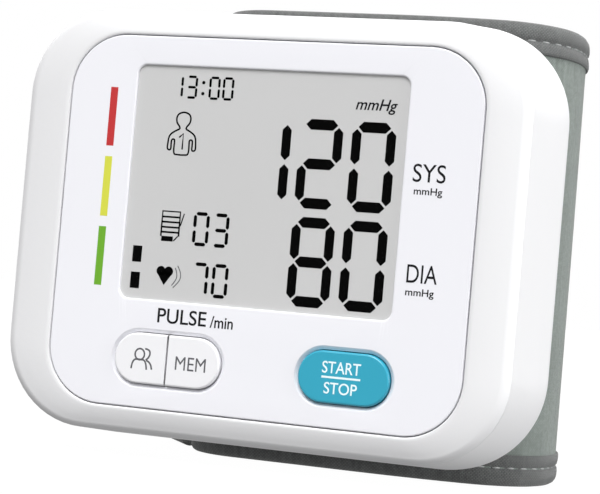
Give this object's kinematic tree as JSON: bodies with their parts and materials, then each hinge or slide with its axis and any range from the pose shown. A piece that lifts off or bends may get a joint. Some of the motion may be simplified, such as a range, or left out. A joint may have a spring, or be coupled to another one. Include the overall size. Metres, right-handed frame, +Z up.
{
  "type": "wrist blood pressure monitor",
  "caption": "Compact monitor with a segment display and capsule keys on a white casing, held on a fabric wrist cuff loop with a fold-open strap.",
  "frame": {"origin": "middle of the casing across X, midway between the keys and the back of the cuff, at the lower rim of the cuff", "axes": "+Z up the display, display faces -Y, +X to the reader's right"},
  "size_m": [0.0832, 0.068, 0.072],
  "materials": {
    "white_shell": "satin moulded",
    "white_plate": "smooth",
    "clear_lens": "clear",
    "lcd_grey": "satin",
    "white_key": "smooth",
    "teal_key": "smooth",
    "black_plastic": "moulded",
    "grey_plastic": "moulded",
    "board_green": "solder mask",
    "steel": "plated",
    "brass_metal": "plated",
    "cell_wrap": "printed sleeve",
    "soft_rubber": "moulded",
    "silicone": "milky",
    "cuff_cloth": "fine woven",
    "lining_cloth": "brushed",
    "binding_cloth": "folded ribbed tape",
    "hook_tape": "hook tape"
  },
  "bodies": {
    "casing": {"front_housing": "white_shell", "rear_housing": "white_shell", "faceplate": "white_plate", "display_lens": "clear_lens", "lcd_panel": "lcd_grey", "lcd_frame": "grey_plastic", "lcd_connectors": "soft_rubber", "key_domes": "soft_rubber", "main_board": "board_green", "controller_chip": "black_plastic", "pressure_sensor": "black_plastic", "buzzer": "black_plastic", "battery_1": "cell_wrap", "battery_2": "cell_wrap", "battery_contacts": "steel", "battery_springs": "steel", "battery_tray": "white_shell", "pump_motor": "steel", "pump_head": "black_plastic", "pump_diaphragm": "soft_rubber", "exhaust_valve": "black_plastic", "air_joint": "grey_plastic", "sensor_hose": "silicone", "pump_hose": "silicone", "valve_hose": "silicone", "cuff_port": "grey_plastic", "housing_screws": "steel", "cuff_screws": "steel", "cuff_cover": "cuff_cloth", "cuff_stiffener": "grey_plastic", "air_bladder": "soft_rubber", "cuff_lining": "lining_cloth", "binding_top": "binding_cloth", "binding_bottom": "binding_cloth"},
    "strap": {"strap": "cuff_cloth", "strap_hook_patch": "hook_tape", "strap_binding_top": "binding_cloth", "strap_binding_bottom": "binding_cloth"},
    "battery_cover": {"battery_cover": "white_shell"},
    "start_key": {"start_stop_button": "teal_key"},
    "user_key": {"user_button": "white_key"},
    "memory_key": {"memory_button": "white_key"},
    "pump_rotor": {"pump_shaft": "steel", "pump_eccentric": "brass_metal"},
    "valve_plunger": {"valve_plunger": "steel"}
  },
  "joints": [
    {"name": "strap_fold", "type": "hinge", "parent": "casing", "child": "strap", "pos_m": [0.00015, 0.03399, 0.036], "axis": [0, 0, -1], "range_deg": [0, 80]},
    {"name": "battery_cover_slide", "type": "slide", "parent": "casing", "child": "battery_cover", "axis": [-1, 0, 0], "range_m": [0, 0.012]},
    {"name": "start_stop_press", "type": "slide", "parent": "casing", "child": "start_key", "axis": [0, 1, 0], "range_m": [0, 0.0005], "stiffness_N_per_m": 900, "springref_m": -0.0004},
    {"name": "user_press", "type": "slide", "parent": "casing", "child": "user_key", "axis": [0, 1, 0], "range_m": [0, 0.0005], "stiffness_N_per_m": 900, "springref_m": -0.0004},
    {"name": "memory_press", "type": "slide", "parent": "casing", "child": "memory_key", "axis": [0, 1, 0], "range_m": [0, 0.0005], "stiffness_N_per_m": 900, "springref_m": -0.0004},
    {"name": "pump_spin", "type": "hinge", "parent": "casing", "child": "pump_rotor", "pos_m": [0.0312, -0.02179, 0.019], "axis": [0, 0, 1], "continuous": true},
    {"name": "valve_pull", "type": "slide", "parent": "casing", "child": "valve_plunger", "axis": [0, 0, -1], "range_m": [0, 0.0006], "stiffness_N_per_m": 150, "springref_m": -0.0005}
  ]
}
